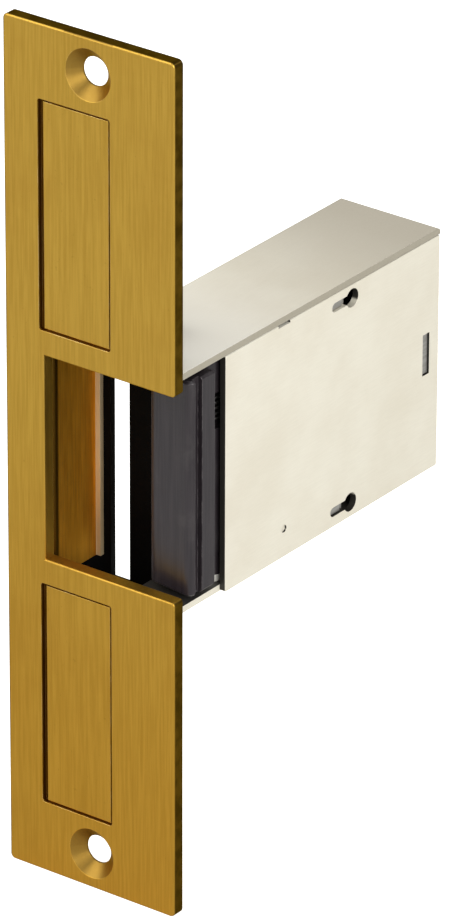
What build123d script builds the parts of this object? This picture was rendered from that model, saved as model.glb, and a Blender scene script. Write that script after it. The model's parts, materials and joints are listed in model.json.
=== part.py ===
from build123d import *
from math import atan2, cos, degrees, radians, sin, sqrt, tan
import os

# Electric door strike, mortised into a door jamb. Millimetres.
# Origin: centre of the faceplate's front face. X: to the right along the faceplate,
# Y: into the jamb, Z: up. The latch pocket opens to +X, where the keeper swings away.

# --- Faceplate -------------------------------------------------------------
PLATE_WIDTH = 34.9
PLATE_HEIGHT = 156.0
PLATE_THICK = 2.4
PLATE_CORNER = 0.9
PLATE_EDGE = 0.35
PLATE_RIGHT = PLATE_WIDTH / 2
NOTCH_LEFT = -9.5
NOTCH_HALF = 18.8
NOTCH_CORNER = 0.6
SCREW_SPACING = 143.0
SCREW_HOLE_RADIUS = 2.55
SCREW_SINK_RADIUS = 4.65
SCREW_SINK_ANGLE = 90
PANEL_LEFT = -10.4
PANEL_RIGHT = 4.4
PANEL_LOW = 23.3
PANEL_HIGH = 64.8
PANEL_CORNER = 0.5
PANEL_DEPTH = 0.25
GROOVE_WIDTH = 0.45
GROOVE_LEFT_WIDTH = 1.0
GROOVE_DEPTH = 1.0

# --- Case: one folded sheet, open to the right and to the front -------------
SHEET = 1.2
CASE_LEFT = -3.4
CASE_RIGHT = PLATE_RIGHT
CASE_BACK = 74.4
CASE_HALF = 22.4
CASE_BEND = 0.8
INNER_HALF = CASE_HALF - SHEET
INNER_LEFT = CASE_LEFT + SHEET
TONGUE_LEFT = 6.2
EAR_RIGHT = 15.9
EAR_TOP = 39.0
EAR_HOLE_RADIUS = 1.7

# --- Side cover, which closes the case on the right --------------------------
# The cover fits under the roof's edge and laps over the floor's edge.
COVER_FRONT = 14.1
COVER_TOP_GAP = 0.15
COVER_TOP = INNER_HALF - COVER_TOP_GAP
COVER_RISE = 0.05
COVER_BOTTOM = COVER_RISE - CASE_HALF
COVER_CORNER = 0.4
COVER_EDGE = 0.25
COVER_INSIDE = CASE_RIGHT - SHEET
KEYHOLE_Y = 49.2
KEYHOLE_HEIGHTS = (18.6, -19.5)
KEYHOLE_RADIUS = 1.7
KEYHOLE_SLOT_END = 44.4
KEYHOLE_SLOT_RADIUS = 0.85
TAB_SLOT_GAP = 0.15
NOTCH_Y = 30.2
NOTCH_LENGTH = 3.2
NOTCH_DEPTH = 0.45
DIMPLE_Y = 30.4
DIMPLE_Z = -17.0
DIMPLE_RADIUS = 0.7
DIMPLE_DEPTH = 0.35

# --- Catches inside the case, whose lugs sit in the keyholes' slots ----------
CATCH_Y = 45.9
CATCH_LENGTH = 4.8
CATCH_DEPTH = 3.2
CATCH_INNER = 17.2
LUG_Y = 45.4
LUG_LENGTH = 2.7
LUG_WIDTH = 1.4
LUG_REACH = 0.75

# --- Pocket liner and the strap that bridges the pocket ----------------------
LINER_THICK = 0.9
LINER_HALF = 23.5
LINER_BACK = 14.85
LINER_FLANGE = -15.0
LINER_RETURN = 0.9
LINER_BEND = 0.5
STRAP_THICK = 1.2
STRAP_LEFT = -16.0
STRAP_RIGHT = 6.0
STRAP_HALF = 29.0
STRAP_FRONT = 14.9
STRAP_BACK = STRAP_FRONT + STRAP_THICK
STRAP_FOOT = 24.0
STRAP_BEND = 1.0
STRAP_SLOT_LEFT = -7.1
STRAP_SLOT_RIGHT = -3.15
STRAP_SLOT_HALF = 27.4

# --- Keeper ------------------------------------------------------------------
PIVOT_X = 11.2
PIVOT_Y = 16.2
KEEPER_END_ROOM = 1.5
KEEPER_HALF = INNER_HALF - KEEPER_END_ROOM
HUB_RADIUS = 4.6
WEB_ROOT_RADIUS = 4.5
LIP_ROOT_ANGLE = 200
LIP_FRONT_LEFT = (7.7, 5.7)
LIP_FRONT_Y = 4.5
LIP_BACK_Y = 11.4
LIP_FRONT_ROUND = 1.3
LIP_LEFT_ROUND = 2.2
LIP_BACK_ROUND = 0.5
LIP_END_CHAMFER = 0.4
LIP_GROOVE_Y = 6.75
LIP_GROOVE_WIDTH = 1.8
LIP_GROOVE_DEPTH = 0.9
HOOK_RADIUS = 7.0
WEB_ANGLE = -77.6
TAIL_RADIUS = 9.5
TAIL_WIDTH = 3.2
TAIL_HALF = 6.0
KEEPER_PIN_RADIUS = 2.0
BUSH_RADIUS = 2.7
BUSH_LENGTH = 6.0
BORE_GAP = 0.2
RUNNING_GAP = 0.05
PIN_DEPTH = 0.7
PIN_HALF = INNER_HALF + PIN_DEPTH
SPRING_GAP_LOW = 7.2
SPRING_GAP_HIGH = 13.8
NECK_RADIUS = 3.3
RECESS_OVERCUT = 0.4
SPRING_COIL_RADIUS = 3.85
SPRING_PITCH = 0.95
SPRING_TURNS = 5
SPRING_START = 0.9
SPRING_LEG = 5.0
SPRING_WIRE_RADIUS = 0.3
WASHER_RADIUS = 4.3
WASHER_THICK = 1.4

# --- Locking lever -----------------------------------------------------------
LEVER_X = 0.6
LEVER_Y = 29.5
LEVER_THROW = 15.0
LEVER_HALF = 2.5
LEVER_PIN_RADIUS = 1.5
NOSE_RADIUS = 9.65
NOSE_LEFT = 6.9
NOSE_DROP = 5.5
ARM_HALF_WIDTH = 1.5
BOSS_RADIUS = 2.3
LEVER_SLOT_Y = 3.3
LEVER_EYE_WIDTH = 5.0
LEVER_EYE_MARGIN = 2.1
SLOT_GAP = 0.08
SLOT_OVERRUN = 0.1
SPACER_GAP = 0.15

# --- Solenoid, whose axis runs along Y ----------------------------------------
COIL_X = (INNER_LEFT + COVER_INSIDE) / 2
YOKE_FRONT = 42.0
YOKE_BACK = 71.5
YOKE_THICK = 1.6
YOKE_HALF = 8.5
YOKE_RIGHT = 14.9
YOKE_BEND = 0.9
YOKE_HOLE_GAP = 0.3
TAB_HALF = 3.7
TAB_SETBACK = 0.3
TAB_ROOT = 0.5
PLUNGER_RADIUS = 4.0
PLUNGER_FRONT = 31.2
PLUNGER_SLOT_END = 37.0
PLUNGER_SLOT_GAP = 0.15
POLE_FACE = 57.0
POLE_GAP = 0.1
POLE_STEM_RADIUS = 2.5
PLUNGER_PIN_RADIUS = 1.0
PLUNGER_PIN_HALF = 3.7
BOBBIN_FLANGE = 7.3
BOBBIN_TUBE = 4.7
BOBBIN_WALL = 1.1
BOBBIN_GAP = 0.08
COIL_END_GAP = 0.05
COIL_GAP = 0.02
POLE_SEAT_GAP = 0.05
WINDING_RADIUS = 6.7
WRAP_RADIUS = 7.05
CLIP_Y = 38.0
CLIP_THICK = 0.6
CLIP_RADIUS = 5.6
CLIP_MOUTH = 4.4
CLIP_GAP = 0.05
GROOVE_RADIUS = 3.2
RETURN_COIL_RADIUS = 4.7
RETURN_PITCH = 0.7
RETURN_WIRE_RADIUS = 0.25
RETURN_END_GAP = 0.35

# --- Terminals ---------------------------------------------------------------
BLOCK_LEFT = -6.8
BLOCK_LOW = 6.5
BLOCK_HIGH = 19.0
BLOCK_FRONT = 50.0
BLOCK_BACK = 64.0
TERMINAL_Z = 12.2
TERMINAL_Y = (53.8, 60.2)
BLOCK_CORNER = 0.8
WELL_TOP = 15.0
WELL_WIDTH = 5.0
WELL_DEPTH = 1.6
WINDOW_LOW = 9.8
WINDOW_HIGH = 14.6
WINDOW_MARGIN = 2.3
WINDOW_GAP = 0.2
RIVET_Z = 17.0
RIVET_RADIUS = 1.0
RIVET_HOLE_RADIUS = 1.02
RIVET_HEAD_RADIUS = 1.7
RIVET_TAIL_RADIUS = 1.5
RIVET_HEAD = 0.5
TERMINAL_RADIUS = 1.2
TERMINAL_PLATE_HOLE = 1.22
TERMINAL_BLOCK_HOLE = 1.25
TERMINAL_HEAD_RADIUS = 2.1
TERMINAL_HEAD = 1.4
TERMINAL_HEAD_ROUND = 0.3
TERMINAL_DRIVE_WIDTH = 0.6
TERMINAL_DRIVE_DEPTH = 0.6
TERMINAL_PLATE = (4.2, 5.4)
TERMINAL_PLATE_RISE = 0.2
TERMINAL_PLATE_THICK = 0.8

# --- Coil leads ----------------------------------------------------------------
LEAD_RADIUS = 0.4
LEAD_GAP = 0.05
LEAD_RISE = 1.8
LEAD_BEND = 2.5
LEAD_END_ANGLE = 105

# --- Fixings -------------------------------------------------------------------
STUD_RADIUS = 1.5
STUD_X = 11.0
STUD_HEIGHTS = (27.0, 35.0, -27.0, -35.0)
STUD_LENGTH = 5.0
STUD_CHAMFER = 0.4
NUT_FLATS = 5.5
NUT_THICK = 2.4
THREAD_GAP = 0.02
YOKE_SCREW_Y = (47.0, 66.5)
YOKE_SCREW_HOLE = 1.6
SCREW_HEAD_RADIUS = 2.8
SCREW_HEAD = 1.7
SCREW_HEAD_ROUND = 0.7
CROSS_LENGTH = 3.2
CROSS_WIDTH = 0.7
CROSS_DEPTH = 0.9

# Slack used when picking edges by their place.
PICK_SLACK = 0.01

PIVOT = (PIVOT_X, PIVOT_Y)
LEVER_PIVOT = (LEVER_X, LEVER_Y)
BOTH_ENDS = (1, -1)


def facing_plane(depth):
    """A plane parallel to the faceplate at this depth, seen from the front: x is X, y is Z."""
    return Plane(origin=(0, depth, 0), x_dir=(1, 0, 0), z_dir=(0, -1, 0))


def side_plane(x):
    """A plane parallel to the side cover, seen from the right: x is Y, y is Z."""
    return Plane.YZ.offset(x)


def around(centre, radius, angle):
    """The point at this radius and angle, in degrees, around a centre in plan."""
    return (
        centre[0] + radius * cos(radians(angle)),
        centre[1] + radius * sin(radians(angle)),
    )


os.makedirs("parts", exist_ok=True)

# ------------------------------------------------------------------ faceplate
panel_width = PANEL_RIGHT - PANEL_LEFT
panel_height = PANEL_HIGH - PANEL_LOW
panel_x = (PANEL_LEFT + PANEL_RIGHT) / 2
pressed_x = panel_x + (GROOVE_LEFT_WIDTH - GROOVE_WIDTH) / 2
panel_z = (PANEL_LOW + PANEL_HIGH) / 2

with BuildPart() as faceplate:
    with BuildSketch(facing_plane(0)):
        RectangleRounded(PLATE_WIDTH, PLATE_HEIGHT, PLATE_CORNER)
        with Locations(((NOTCH_LEFT + PLATE_RIGHT) / 2, 0)):
            Rectangle(PLATE_RIGHT - NOTCH_LEFT, 2 * NOTCH_HALF, mode=Mode.SUBTRACT)
    extrude(amount=-PLATE_THICK)
    open_corners = faceplate.edges().filter_by(Axis.Y).filter_by_position(
        Axis.Z, -NOTCH_HALF - PICK_SLACK, NOTCH_HALF + PICK_SLACK
    )
    fillet(open_corners.sort_by(Axis.X)[-2:], radius=NOTCH_CORNER)
    fillet(faceplate.faces().sort_by(Axis.Y)[0].edges(), radius=PLATE_EDGE)
    # Two pressed panels, each sunk a little and outlined by a sheared groove, wider on the left.
    with BuildSketch(facing_plane(0)):
        with Locations((panel_x, panel_z), (panel_x, -panel_z)):
            RectangleRounded(panel_width, panel_height, PANEL_CORNER)
    extrude(amount=-PANEL_DEPTH, mode=Mode.SUBTRACT)
    with BuildSketch(facing_plane(0)):
        with Locations((panel_x, panel_z), (panel_x, -panel_z)):
            RectangleRounded(panel_width, panel_height, PANEL_CORNER)
        with Locations((pressed_x, panel_z), (pressed_x, -panel_z)):
            Rectangle(
                panel_width - GROOVE_LEFT_WIDTH - GROOVE_WIDTH,
                panel_height - 2 * GROOVE_WIDTH,
                mode=Mode.SUBTRACT,
            )
    extrude(amount=-GROOVE_DEPTH, mode=Mode.SUBTRACT)
    with Locations(facing_plane(0)):
        with GridLocations(1, SCREW_SPACING, 1, 2):
            CounterSinkHole(
                SCREW_HOLE_RADIUS, SCREW_SINK_RADIUS, counter_sink_angle=SCREW_SINK_ANGLE
            )
faceplate.part.label = "faceplate"
export_step(faceplate.part, "parts/faceplate.step")

with BuildPart() as faceplate_studs:
    with BuildSketch(facing_plane(PLATE_THICK)):
        with Locations(*[(STUD_X, z) for z in STUD_HEIGHTS]):
            Circle(STUD_RADIUS)
    extrude(amount=-STUD_LENGTH)
    chamfer(faceplate_studs.faces().group_by(Axis.Y)[-1].edges(), length=STUD_CHAMFER)
faceplate_studs.part.label = "faceplate_studs"
export_step(faceplate_studs.part, "parts/faceplate_studs.step")

with BuildPart() as faceplate_nuts:
    with BuildSketch(facing_plane(PLATE_THICK + SHEET)):
        with Locations(*[(STUD_X, z) for z in STUD_HEIGHTS]):
            RegularPolygon(NUT_FLATS / 2, 6, major_radius=False)
        with Locations(*[(STUD_X, z) for z in STUD_HEIGHTS]):
            Circle(STUD_RADIUS + THREAD_GAP, mode=Mode.SUBTRACT)
    extrude(amount=-NUT_THICK)
faceplate_nuts.part.label = "faceplate_nuts"
export_step(faceplate_nuts.part, "parts/faceplate_nuts.step")

# ------------------------------------------------- brass liner of the pocket
liner_line = NOTCH_LEFT - LINER_THICK / 2

with BuildPart() as pocket_liner:
    with BuildSketch(Plane.XY.offset(-LINER_HALF)):
        with BuildLine():
            FilletPolyline(
                (LINER_FLANGE, PLATE_THICK + LINER_THICK / 2),
                (liner_line, PLATE_THICK + LINER_THICK / 2),
                (liner_line, LINER_BACK - LINER_THICK / 2),
                (NOTCH_LEFT + LINER_RETURN, LINER_BACK - LINER_THICK / 2),
                radius=LINER_BEND,
            )
        trace(line_width=LINER_THICK)
    extrude(amount=2 * LINER_HALF)
pocket_liner.part.label = "pocket_liner"
export_step(pocket_liner.part, "parts/pocket_liner.step")

# --------------------------------------- black strap that bridges the pocket
strap_width = STRAP_RIGHT - STRAP_LEFT
strap_edge = STRAP_HALF - STRAP_THICK / 2

with BuildPart() as pocket_strap:
    with BuildSketch(side_plane(STRAP_LEFT)):
        with BuildLine():
            FilletPolyline(
                (PLATE_THICK + STRAP_THICK / 2, STRAP_FOOT),
                (PLATE_THICK + STRAP_THICK / 2, strap_edge),
                (STRAP_BACK - STRAP_THICK / 2, strap_edge),
                (STRAP_BACK - STRAP_THICK / 2, -strap_edge),
                (PLATE_THICK + STRAP_THICK / 2, -strap_edge),
                (PLATE_THICK + STRAP_THICK / 2, -STRAP_FOOT),
                radius=STRAP_BEND,
            )
        trace(line_width=STRAP_THICK)
    extrude(amount=strap_width)
    # Tall window to the left of the case.
    with BuildSketch(facing_plane(STRAP_FRONT)):
        with Locations(((STRAP_SLOT_LEFT + STRAP_SLOT_RIGHT) / 2, 0)):
            Rectangle(STRAP_SLOT_RIGHT - STRAP_SLOT_LEFT, 2 * STRAP_SLOT_HALF)
    extrude(amount=-STRAP_THICK, mode=Mode.SUBTRACT)
pocket_strap.part.label = "pocket_strap"
export_step(pocket_strap.part, "parts/pocket_strap.step")

# ------------------------------------------------------------------ case shell
window_y = (TERMINAL_Y[0] + TERMINAL_Y[1]) / 2
window_length = TERMINAL_Y[1] - TERMINAL_Y[0] + 2 * WINDOW_MARGIN

with BuildPart() as case_shell:
    # Floor and roof, each with a tongue forward to the faceplate.
    for level, right_edge in ((-CASE_HALF, COVER_INSIDE), (INNER_HALF, CASE_RIGHT)):
        with BuildSketch(Plane.XY.offset(level)):
            with BuildLine():
                Polyline(
                    (TONGUE_LEFT, PLATE_THICK),
                    (right_edge, PLATE_THICK),
                    (right_edge, CASE_BACK),
                    (CASE_LEFT, CASE_BACK),
                    (CASE_LEFT, STRAP_BACK),
                    (TONGUE_LEFT, STRAP_BACK),
                    close=True,
                )
            make_face()
        extrude(amount=SHEET)
    # Left wall and rear wall.
    with BuildSketch(Plane.XY.offset(-CASE_HALF)):
        with BuildLine():
            Polyline(
                (CASE_LEFT, STRAP_BACK),
                (INNER_LEFT, STRAP_BACK),
                (INNER_LEFT, CASE_BACK - SHEET),
                (COVER_INSIDE, CASE_BACK - SHEET),
                (COVER_INSIDE, CASE_BACK),
                (CASE_LEFT, CASE_BACK),
                close=True,
            )
        make_face()
    extrude(amount=2 * CASE_HALF)
    # The folds: the roof's and the floor's left and rear outer edges.
    outer_edges = case_shell.edges().group_by(Axis.Z)
    fillet(
        [
            edge
            for edge in outer_edges[0] + outer_edges[-1]
            if edge.center().X < CASE_LEFT + PICK_SLACK or edge.center().Y > CASE_BACK - PICK_SLACK
        ],
        radius=CASE_BEND,
    )
    # Ears that bolt to the faceplate's studs.
    with BuildSketch(facing_plane(PLATE_THICK)):
        for end in BOTH_ENDS:
            with Locations(((TONGUE_LEFT + EAR_RIGHT) / 2, end * (INNER_HALF + EAR_TOP) / 2)):
                Rectangle(EAR_RIGHT - TONGUE_LEFT, EAR_TOP - INNER_HALF)
        with Locations(*[(STUD_X, z) for z in STUD_HEIGHTS]):
            Circle(EAR_HOLE_RADIUS, mode=Mode.SUBTRACT)
    extrude(amount=-SHEET)
    # Blind seats for the ends of the keeper pin and the lever pin.
    for end in BOTH_ENDS:
        with BuildSketch(Plane.XY.offset(end * INNER_HALF)):
            with Locations(PIVOT):
                Circle(KEEPER_PIN_RADIUS)
            with Locations(LEVER_PIVOT):
                Circle(LEVER_PIN_RADIUS)
        extrude(amount=end * PIN_DEPTH, mode=Mode.SUBTRACT)
    # Left wall: window for the terminals, rivet holes and solenoid screw holes.
    with BuildSketch(side_plane(CASE_LEFT)):
        with Locations((window_y, (WINDOW_LOW + WINDOW_HIGH) / 2)):
            Rectangle(window_length, WINDOW_HIGH - WINDOW_LOW)
        with Locations(*[(y, RIVET_Z) for y in TERMINAL_Y]):
            Circle(RIVET_HOLE_RADIUS)
        with Locations(*[(y, 0) for y in YOKE_SCREW_Y]):
            Circle(YOKE_SCREW_HOLE)
    extrude(amount=SHEET, mode=Mode.SUBTRACT)
case_shell.part.label = "case_shell"
export_step(case_shell.part, "parts/case_shell.step")

# ------------------------------------------------------------------ side cover
yoke_leg_y = YOKE_BACK - YOKE_THICK / 2

with BuildPart() as side_cover:
    with BuildSketch(side_plane(COVER_INSIDE)):
        with Locations(((COVER_FRONT + CASE_BACK) / 2, (COVER_TOP + COVER_BOTTOM) / 2)):
            RectangleRounded(CASE_BACK - COVER_FRONT, COVER_TOP - COVER_BOTTOM, COVER_CORNER)
    extrude(amount=SHEET)
    fillet(side_cover.faces().sort_by(Axis.X)[-1].edges(), radius=COVER_EDGE)
    # Two keyholes, a slot for the yoke's tab and a small notch in the top edge.
    slot_y = (KEYHOLE_SLOT_END + KEYHOLE_Y) / 2
    slot_run = KEYHOLE_Y - KEYHOLE_SLOT_END
    with BuildSketch(side_plane(COVER_INSIDE)):
        with Locations(*[(KEYHOLE_Y, z) for z in KEYHOLE_HEIGHTS]):
            Circle(KEYHOLE_RADIUS)
        with Locations(*[(slot_y, z) for z in KEYHOLE_HEIGHTS]):
            SlotCenterToCenter(slot_run, 2 * KEYHOLE_SLOT_RADIUS)
        with Locations((yoke_leg_y, 0)):
            Rectangle(YOKE_THICK + 2 * TAB_SLOT_GAP, 2 * TAB_HALF + 2 * TAB_SLOT_GAP)
        with Locations((NOTCH_Y, COVER_TOP)):
            Rectangle(NOTCH_LENGTH, 2 * NOTCH_DEPTH)
    extrude(amount=SHEET, mode=Mode.SUBTRACT)
    # Punched dimple.
    with BuildSketch(side_plane(CASE_RIGHT)):
        with Locations((DIMPLE_Y, DIMPLE_Z)):
            Circle(DIMPLE_RADIUS)
    extrude(amount=-DIMPLE_DEPTH, mode=Mode.SUBTRACT)
side_cover.part.label = "side_cover"
export_step(side_cover.part, "parts/side_cover.step")

catch_height = INNER_HALF - CATCH_INNER

with BuildPart() as cover_catches:
    for end, lug_z in zip(BOTH_ENDS, KEYHOLE_HEIGHTS):
        with BuildSketch(side_plane(COVER_INSIDE)):
            with Locations((CATCH_Y, end * (CATCH_INNER + INNER_HALF) / 2)):
                Rectangle(CATCH_LENGTH, catch_height)
        extrude(amount=-CATCH_DEPTH)
        with BuildSketch(side_plane(COVER_INSIDE)):
            with Locations((LUG_Y, lug_z)):
                Rectangle(LUG_LENGTH, LUG_WIDTH)
        extrude(amount=LUG_REACH)
cover_catches.part.label = "cover_catches"
export_step(cover_catches.part, "parts/cover_catches.step")

# ---------------------------------------------------------------------- keeper
lip_back_run = sqrt(HOOK_RADIUS**2 - (PIVOT_Y - LIP_BACK_Y) ** 2)
lip_back_corner = (PIVOT_X + lip_back_run, LIP_BACK_Y)
hook_start = -degrees(atan2(PIVOT_Y - LIP_BACK_Y, lip_back_run))

with BuildPart() as keeper:
    with BuildSketch(Plane.XY.offset(-KEEPER_HALF)) as keeper_plan:
        with BuildLine():
            front = Polyline(
                around(PIVOT, WEB_ROOT_RADIUS, LIP_ROOT_ANGLE),
                LIP_FRONT_LEFT,
                (PLATE_RIGHT, LIP_FRONT_Y),
                (PLATE_RIGHT, LIP_BACK_Y),
                lip_back_corner,
            )
            hook = CenterArc(PIVOT, HOOK_RADIUS, hook_start, WEB_ANGLE - hook_start)
            Polyline(hook @ 1, around(PIVOT, WEB_ROOT_RADIUS, WEB_ANGLE), PIVOT, front @ 0)
        make_face()
        with Locations(PIVOT):
            Circle(HUB_RADIUS)
        for corner, rounding in (
            ((PLATE_RIGHT, LIP_FRONT_Y), LIP_FRONT_ROUND),
            (LIP_FRONT_LEFT, LIP_LEFT_ROUND),
            ((PLATE_RIGHT, LIP_BACK_Y), LIP_BACK_ROUND),
        ):
            fillet(keeper_plan.vertices().sort_by_distance(corner)[0], radius=rounding)
    extrude(amount=2 * KEEPER_HALF)
    # Ends of the lip, eased.
    rims = keeper.faces().filter_by(Axis.Z)
    chamfer(
        [
            edge
            for edge in rims.sort_by(Axis.Z)[0].edges() + rims.sort_by(Axis.Z)[-1].edges()
            if edge.center().Y < LIP_BACK_Y
        ],
        length=LIP_END_CHAMFER,
    )
    # Groove down the lip's outer side.
    with BuildSketch(side_plane(PLATE_RIGHT)):
        with Locations((LIP_GROOVE_Y, 0)):
            Rectangle(LIP_GROOVE_WIDTH, 2 * KEEPER_HALF)
    extrude(amount=-LIP_GROOVE_DEPTH, mode=Mode.SUBTRACT)
    # Tail that the locking lever blocks.
    with BuildSketch(Plane.XY.offset(-TAIL_HALF)):
        with Locations((PIVOT_X, PIVOT_Y + TAIL_RADIUS / 2)):
            Rectangle(TAIL_WIDTH, TAIL_RADIUS)
        with Locations(PIVOT):
            Circle(TAIL_RADIUS, mode=Mode.INTERSECT)
    extrude(amount=2 * TAIL_HALF)
    # Recess around the hub for the return spring.
    with BuildSketch(Plane.XY.offset(SPRING_GAP_LOW)):
        with Locations(PIVOT):
            Circle(HUB_RADIUS + RECESS_OVERCUT)
            Circle(NECK_RADIUS, mode=Mode.SUBTRACT)
    extrude(amount=SPRING_GAP_HIGH - SPRING_GAP_LOW, mode=Mode.SUBTRACT)
    # Bore for the pin, wider at both ends for the bushes.
    with BuildSketch(Plane.XY.offset(-KEEPER_HALF)):
        with Locations(PIVOT):
            Circle(KEEPER_PIN_RADIUS + BORE_GAP)
    extrude(amount=2 * KEEPER_HALF, mode=Mode.SUBTRACT)
    for end in BOTH_ENDS:
        with BuildSketch(Plane.XY.offset(end * KEEPER_HALF)):
            with Locations(PIVOT):
                Circle(BUSH_RADIUS)
        extrude(amount=-end * BUSH_LENGTH, mode=Mode.SUBTRACT)
keeper.part.label = "keeper"
export_step(keeper.part, "parts/keeper.step")

with BuildPart() as keeper_bushes:
    for end in BOTH_ENDS:
        with BuildSketch(Plane.XY.offset(end * KEEPER_HALF)):
            with Locations(PIVOT):
                Circle(BUSH_RADIUS)
                Circle(KEEPER_PIN_RADIUS + RUNNING_GAP, mode=Mode.SUBTRACT)
        extrude(amount=-end * BUSH_LENGTH)
keeper_bushes.part.label = "keeper_bushes"
export_step(keeper_bushes.part, "parts/keeper_bushes.step")

with BuildPart() as keeper_pin:
    with BuildSketch(Plane.XY.offset(-PIN_HALF)):
        with Locations(PIVOT):
            Circle(KEEPER_PIN_RADIUS)
    extrude(amount=2 * PIN_HALF)
keeper_pin.part.label = "keeper_pin"
export_step(keeper_pin.part, "parts/keeper_pin.step")

with BuildPart() as keeper_washers:
    for end in BOTH_ENDS:
        with BuildSketch(Plane.XY.offset(end * (KEEPER_HALF + RUNNING_GAP))):
            with Locations(PIVOT):
                Circle(WASHER_RADIUS)
                Circle(KEEPER_PIN_RADIUS + RUNNING_GAP, mode=Mode.SUBTRACT)
        extrude(amount=end * WASHER_THICK)
keeper_washers.part.label = "keeper_washers"
export_step(keeper_washers.part, "parts/keeper_washers.step")

# Torsion spring in the hub's recess: one leg on the keeper, one towards the case.
with BuildPart() as keeper_spring:
    with BuildLine() as spring_path:
        spring_coil = Helix(
            pitch=SPRING_PITCH,
            height=SPRING_PITCH * SPRING_TURNS,
            radius=SPRING_COIL_RADIUS,
            center=(PIVOT_X, PIVOT_Y, SPRING_GAP_LOW + SPRING_START),
        )
        Line(spring_coil @ 1, (spring_coil @ 1) + (spring_coil % 1) * SPRING_LEG)
    with BuildSketch(Plane(origin=spring_coil @ 0, z_dir=spring_coil % 0)):
        Circle(SPRING_WIRE_RADIUS)
    sweep()
keeper_spring.part.label = "keeper_spring"
export_step(keeper_spring.part, "parts/keeper_spring.step")

# --------------------------------------------------------------- locking lever
# Drawn in its locked attitude on a plane turned by the throw, so it stands released.
lever_turn = radians(LEVER_THROW)
half_turn = lever_turn / 2
locked_plane = Plane(
    origin=(LEVER_X, LEVER_Y, -LEVER_HALF),
    x_dir=(cos(lever_turn), sin(lever_turn), 0),
    z_dir=(0, 0, 1),
)
middle_plane = Plane(
    origin=(LEVER_X, LEVER_Y, -LEVER_HALF),
    x_dir=(cos(half_turn), sin(half_turn), 0),
    z_dir=(0, 0, 1),
)
plunger_arm = COIL_X - LEVER_X
pin_y = LEVER_Y + LEVER_SLOT_Y / cos(half_turn) + plunger_arm * tan(half_turn)
slot_centre = plunger_arm / cos(half_turn)
slot_travel = LEVER_SLOT_Y * tan(half_turn)

with BuildPart() as locking_lever:
    with BuildSketch(locked_plane):
        with BuildLine():
            Polyline(
                (0, -ARM_HALF_WIDTH),
                (NOSE_LEFT, -ARM_HALF_WIDTH),
                (NOSE_LEFT, -NOSE_DROP),
                (NOSE_RADIUS, -NOSE_DROP),
                (NOSE_RADIUS, ARM_HALF_WIDTH),
                (0, ARM_HALF_WIDTH),
                close=True,
            )
        make_face()
        # The locking face is an arc about the lever's own pin.
        Circle(NOSE_RADIUS, mode=Mode.INTERSECT)
        Circle(BOSS_RADIUS)
    extrude(amount=2 * LEVER_HALF)
    with BuildSketch(middle_plane):
        with Locations((slot_centre, LEVER_SLOT_Y / 2)):
            Rectangle(LEVER_EYE_WIDTH, LEVER_SLOT_Y + 2 * LEVER_EYE_MARGIN)
    extrude(amount=2 * LEVER_HALF)
    with BuildSketch(middle_plane):
        with Locations((slot_centre, LEVER_SLOT_Y)):
            SlotCenterToCenter(
                2 * (slot_travel + SLOT_OVERRUN), 2 * (PLUNGER_PIN_RADIUS + SLOT_GAP)
            )
        Circle(LEVER_PIN_RADIUS + RUNNING_GAP)
    extrude(amount=2 * LEVER_HALF, mode=Mode.SUBTRACT)
locking_lever.part.label = "locking_lever"
export_step(locking_lever.part, "parts/locking_lever.step")

with BuildPart() as lever_pin:
    with BuildSketch(Plane.XY.offset(-PIN_HALF)):
        with Locations(LEVER_PIVOT):
            Circle(LEVER_PIN_RADIUS)
    extrude(amount=2 * PIN_HALF)
lever_pin.part.label = "lever_pin"
export_step(lever_pin.part, "parts/lever_pin.step")

with BuildPart() as lever_spacers:
    for end in BOTH_ENDS:
        with BuildSketch(Plane.XY.offset(end * (LEVER_HALF + SPACER_GAP))):
            with Locations(LEVER_PIVOT):
                Circle(BOSS_RADIUS)
                Circle(LEVER_PIN_RADIUS + RUNNING_GAP, mode=Mode.SUBTRACT)
        extrude(amount=end * (INNER_HALF - LEVER_HALF - 2 * SPACER_GAP))
lever_spacers.part.label = "lever_spacers"
export_step(lever_spacers.part, "parts/lever_spacers.step")

# --------------------------------------------------------------------- plunger
with BuildPart() as plunger:
    with BuildSketch(facing_plane(PLUNGER_FRONT)):
        with Locations((COIL_X, 0)):
            Circle(PLUNGER_RADIUS)
    extrude(amount=-(POLE_FACE - POLE_GAP - PLUNGER_FRONT))
    # Slot for the lever, hole for the pin, groove for the clip.
    with BuildSketch(facing_plane(PLUNGER_FRONT)):
        with Locations((COIL_X, 0)):
            Rectangle(2 * PLUNGER_RADIUS, 2 * (LEVER_HALF + PLUNGER_SLOT_GAP))
    extrude(amount=-(PLUNGER_SLOT_END - PLUNGER_FRONT), mode=Mode.SUBTRACT)
    with BuildSketch(Plane.XY.offset(-PLUNGER_RADIUS)):
        with Locations((COIL_X, pin_y)):
            Circle(PLUNGER_PIN_RADIUS)
    extrude(amount=2 * PLUNGER_RADIUS, mode=Mode.SUBTRACT)
    with BuildSketch(facing_plane(CLIP_Y - CLIP_GAP)):
        with Locations((COIL_X, 0)):
            Circle(CLIP_RADIUS)
            Circle(GROOVE_RADIUS, mode=Mode.SUBTRACT)
    extrude(amount=-(CLIP_THICK + 2 * CLIP_GAP), mode=Mode.SUBTRACT)
plunger.part.label = "plunger"
export_step(plunger.part, "parts/plunger.step")

with BuildPart() as plunger_pin:
    with BuildSketch(Plane.XY.offset(-PLUNGER_PIN_HALF)):
        with Locations((COIL_X, pin_y)):
            Circle(PLUNGER_PIN_RADIUS)
    extrude(amount=2 * PLUNGER_PIN_HALF)
plunger_pin.part.label = "plunger_pin"
export_step(plunger_pin.part, "parts/plunger_pin.step")

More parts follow.
